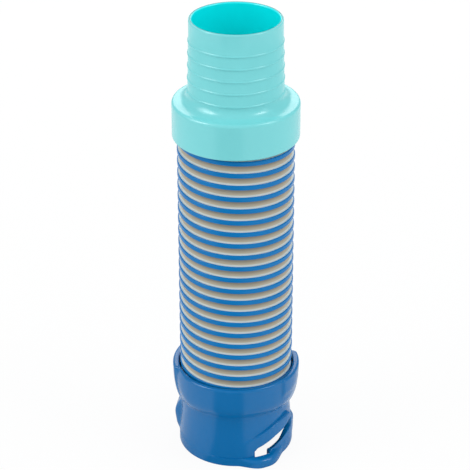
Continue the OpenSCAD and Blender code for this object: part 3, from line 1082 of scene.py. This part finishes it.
class MakeHose(bpy.types.Operator):
    """Builds the spiral hose: one length of rib and of wall for each bend"""

    bl_idname = "pool_hose.make_hose"
    bl_label = "Spiral hose"

    def execute(self, context):
        chosen = settings()
        sizes = chosen.hose
        rib_material = rib_plastic(chosen.finish.rib)
        wall_material = wall_plastic(chosen.finish.wall, chosen.finish.lip, chosen.finish.shaded)
        turns = hose_turns(sizes)
        whole = whole_wall(sizes)
        for number, joint in enumerate(BENDS, start=1):
            start, end = turns[number - 1], turns[number]
            rib = rib_piece(number, sizes, start, end, rib_material)
            wall = wall_piece(number, whole, sizes, start, end, wall_material)
            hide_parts(f"rib_{number}")
            for piece in (rib, wall):
                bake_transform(piece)
            if number == 1:
                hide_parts("hose_wall")
            if number == len(BENDS):
                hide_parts("rib_9")
        bpy.data.meshes.remove(whole)
        return {"FINISHED"}


class MakeCuff(bpy.types.Operator):
    """Builds the twist-lock cuff at the lower end of the hose"""

    bl_idname = "pool_hose.make_cuff"
    bl_label = "Twist-lock cuff"

    def execute(self, context):
        chosen = settings()
        piece = cuff_piece(chosen.cuff, cuff_plastic(chosen.finish.cuff))
        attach(piece, "twist_lock_cuff")
        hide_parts("twist_lock_cuff")
        return {"FINISHED"}


class FinishSwivel(bpy.types.Operator):
    """Gives the swivel's sleeve, washers, ring and seals their materials"""

    bl_idname = "pool_hose.finish_swivel"
    bl_label = "Swivel parts"

    def execute(self, context):
        chosen = settings().finish
        black = machined_acetal("black_acetal", chosen.black)
        white = machined_acetal("white_acetal", chosen.white)
        finishes = (
            (black, "tail_sleeve", "retaining_ring"),
            (white, "upper_thrust_washer", "lower_thrust_washer"),
            (seal_rubber(chosen.rubber), "face_seal", "hose_gasket"),
        )
        for material, *nodes in finishes:
            for node in nodes:
                slots = frame["nodes"][node].data.materials
                slots.clear()
                slots.append(material)
        return {"FINISHED"}


PICTURE_SIDE = 470  # pixels
SENSOR_WIDTH = 36  # mm
# Name, place, size and watts of each softbox, and whether only glossy surfaces show it.
LIGHTS = (
    ("back_box", (0.0, 0.95, 0.62), (0.9, 0.5), 3.5, False),
    ("left_box", (-0.75, -0.28, 0.9), (0.4, 0.4), 2.2, False),
    ("right_box", (0.75, -0.28, 0.9), (0.4, 0.4), 2.0, False),
    ("left_glint", (-0.85, -0.2, 0.8), (0.7, 0.6), 4.5, True),
    ("right_glint", (0.72, -0.32, 0.95), (0.35, 0.35), 1.2, True),
    ("left_strip", (-0.95, -0.3, 0.45), (0.3, 0.35), 1.0, True),
    ("right_strip", (0.95, -0.4, 0.45), (0.3, 0.35), 0.5, True),
)
LIGHT_AIM = Vector((0, 0, 0.1))
ROOM_COLOUR = (0.97, 0.99, 1.0, 1.0)
ROOM_FILL = 0.9  # how bright the room is as a light
ROOM_MIRRORED = 0.4  # and in a mirror image of it
SEEN_GLOW = 0.92  # share of the seen floor's white that no shadow reaches
WEDGE_START, WEDGE_END = math.radians(-33), math.radians(10)
WEDGE_SOFT = math.radians(4)
DARK_REFLECTION = 0.1  # brightness of a painted dark reflection: the floor's wedge in front, dark only in mirror images


def soft_light(name, place, side, power, gloss_only):
    """A softbox that faces the object and isn't seen by the camera."""
    lamp = bpy.data.lights.new(name, "AREA")
    lamp.shape = "RECTANGLE"
    lamp.size, lamp.size_y = side
    lamp.energy = power
    box = bpy.data.objects.new(name, lamp)
    box.location = place
    box.rotation_euler = (LIGHT_AIM - Vector(place)).to_track_quat("-Z", "Y").to_euler()
    box.visible_camera = False
    box.visible_diffuse = not gloss_only
    bpy.context.scene.collection.objects.link(box)


def white_room():
    """World light: white where it is seen, softer where it lights, and dim in mirror images."""
    world = bpy.data.worlds.new("white_room")
    world.use_nodes = True
    nodes = NodeTree(world.node_tree)
    rays = nodes.node("ShaderNodeLightPath", {}, {}).outputs
    seen = nodes.maths("MAXIMUM", rays["Is Camera Ray"], rays["Is Transmission Ray"])
    unseen = nodes.mix_numbers(rays["Is Glossy Ray"], ROOM_FILL, ROOM_MIRRORED)
    light = {"Color": ROOM_COLOUR, "Strength": nodes.mix_numbers(seen, unseen, 1.0)}
    room = nodes.node("ShaderNodeBackground", {}, light)
    nodes.node("ShaderNodeOutputWorld", {}, {"Surface": room.outputs[0]})
    bpy.context.scene.world = world


def floor_finish(base):
    """Pale floor, white where it is seen, that keeps the object's shadow and mirrors dimly, with a
    painted dark reflection in a wedge in front.
    """
    finish = Finish("studio_floor", Roughness=0.9)
    rays = finish.node("ShaderNodeLightPath", {}, {})
    seen = Number(finish, rays.outputs["Is Camera Ray"])
    mirrored = Number(finish, rays.outputs["Is Glossy Ray"])
    x, y = finish.axes()[:2]
    azimuth = finish.maths("ARCTAN2", x, 0 - y)
    dark_wedge = finish.between(WEDGE_START - WEDGE_SOFT, WEDGE_START, azimuth)
    dark_wedge = dark_wedge * finish.between(WEDGE_END + WEDGE_SOFT, WEDGE_END, azimuth)
    # Painted reflection: the wedge in front is darker only for glossy rays.
    shade = finish.mix(mirrored * dark_wedge, base, shade_of(base, DARK_REFLECTION))
    finish.feed(finish.shader.inputs["Base Color"], shade)
    glow = finish.node("ShaderNodeEmission", {}, {"Color": (1, 1, 1, 1), "Strength": 1.0})
    lit = finish.node(
        "ShaderNodeMixShader", {},
        {0: seen * SEEN_GLOW, 1: finish.shader.outputs[0], 2: glow.outputs[0]},
    )
    finish.feed(finish.output.inputs["Surface"], lit.outputs[0])
    return finish.material


class MakeStage(bpy.types.Operator):
    """Sets the floor, the studio light and the camera"""

    bl_idname = "pool_hose.make_stage"
    bl_label = "Studio stage"

    def execute(self, context):
        chosen = settings().stage
        bm = bmesh.new()
        bmesh.ops.create_grid(bm, x_segments=1, y_segments=1, size=chosen.floor_size / 2)
        floor = piece_from(bm, "studio_floor", floor_finish(chosen.floor_colour))
        white_room()
        for light in LIGHTS:
            soft_light(*light)
        camera = bpy.data.cameras.new("camera")
        camera.sensor_width = SENSOR_WIDTH
        camera.lens = chosen.focal_pixels * SENSOR_WIDTH / PICTURE_SIDE
        camera.shift_x = (PICTURE_SIDE / 2 - chosen.centre_pixel) / PICTURE_SIDE
        stand = bpy.data.objects.new("camera", camera)
        stand.location = (0, -chosen.camera_distance, chosen.camera_height)
        stand.rotation_euler = (math.pi / 2 - chosen.camera_tilt, 0, 0)
        scene = context.scene
        scene.collection.objects.link(stand)
        scene.camera = stand
        scene.view_settings.view_transform = "Standard"
        return {"FINISHED"}


class PoolHoseSettings(bpy.types.PropertyGroup):
    """All settings of the hose section."""

    hose: bpy.props.PointerProperty(type=HoseSettings)
    spigot: bpy.props.PointerProperty(type=SpigotSettings)
    cuff: bpy.props.PointerProperty(type=CuffSettings)
    finish: bpy.props.PointerProperty(type=FinishSettings)
    stage: bpy.props.PointerProperty(type=StageSettings)


OPERATORS = (MakeSpigot, MakeHose, MakeCuff, FinishSwivel, MakeStage)


class PoolHosePanel(bpy.types.Panel):
    """Sidebar panel with the settings and the operators"""

    bl_idname = "VIEW3D_PT_pool_hose"
    bl_label = "Pool Hose"
    bl_space_type = "VIEW_3D"
    bl_region_type = "UI"
    bl_category = "Pool Hose"

    def draw(self, context):
        chosen = settings()
        for group in (chosen.hose, chosen.spigot, chosen.cuff, chosen.finish, chosen.stage):
            box = self.layout.box()
            for name in group.bl_rna.properties.keys():
                if name not in ("rna_type", "name"):
                    box.prop(group, name)
        for operator in OPERATORS:
            self.layout.operator(operator.bl_idname)


CLASSES = (
    HoseSettings, SpigotSettings, CuffSettings, FinishSettings, StageSettings, PoolHoseSettings,
    *OPERATORS, PoolHosePanel,
)


def register():
    for cls in CLASSES:
        bpy.utils.register_class(cls)
    bpy.types.Scene.pool_hose = bpy.props.PointerProperty(type=PoolHoseSettings)


def unregister():
    del bpy.types.Scene.pool_hose
    for cls in reversed(CLASSES):
        bpy.utils.unregister_class(cls)


def main():
    register()
    bpy.ops.pool_hose.make_spigot()
    bpy.ops.pool_hose.make_hose()
    bpy.ops.pool_hose.make_cuff()
    bpy.ops.pool_hose.finish_swivel()
    bpy.ops.pool_hose.make_stage()


if __name__ == "__main__":
    main()
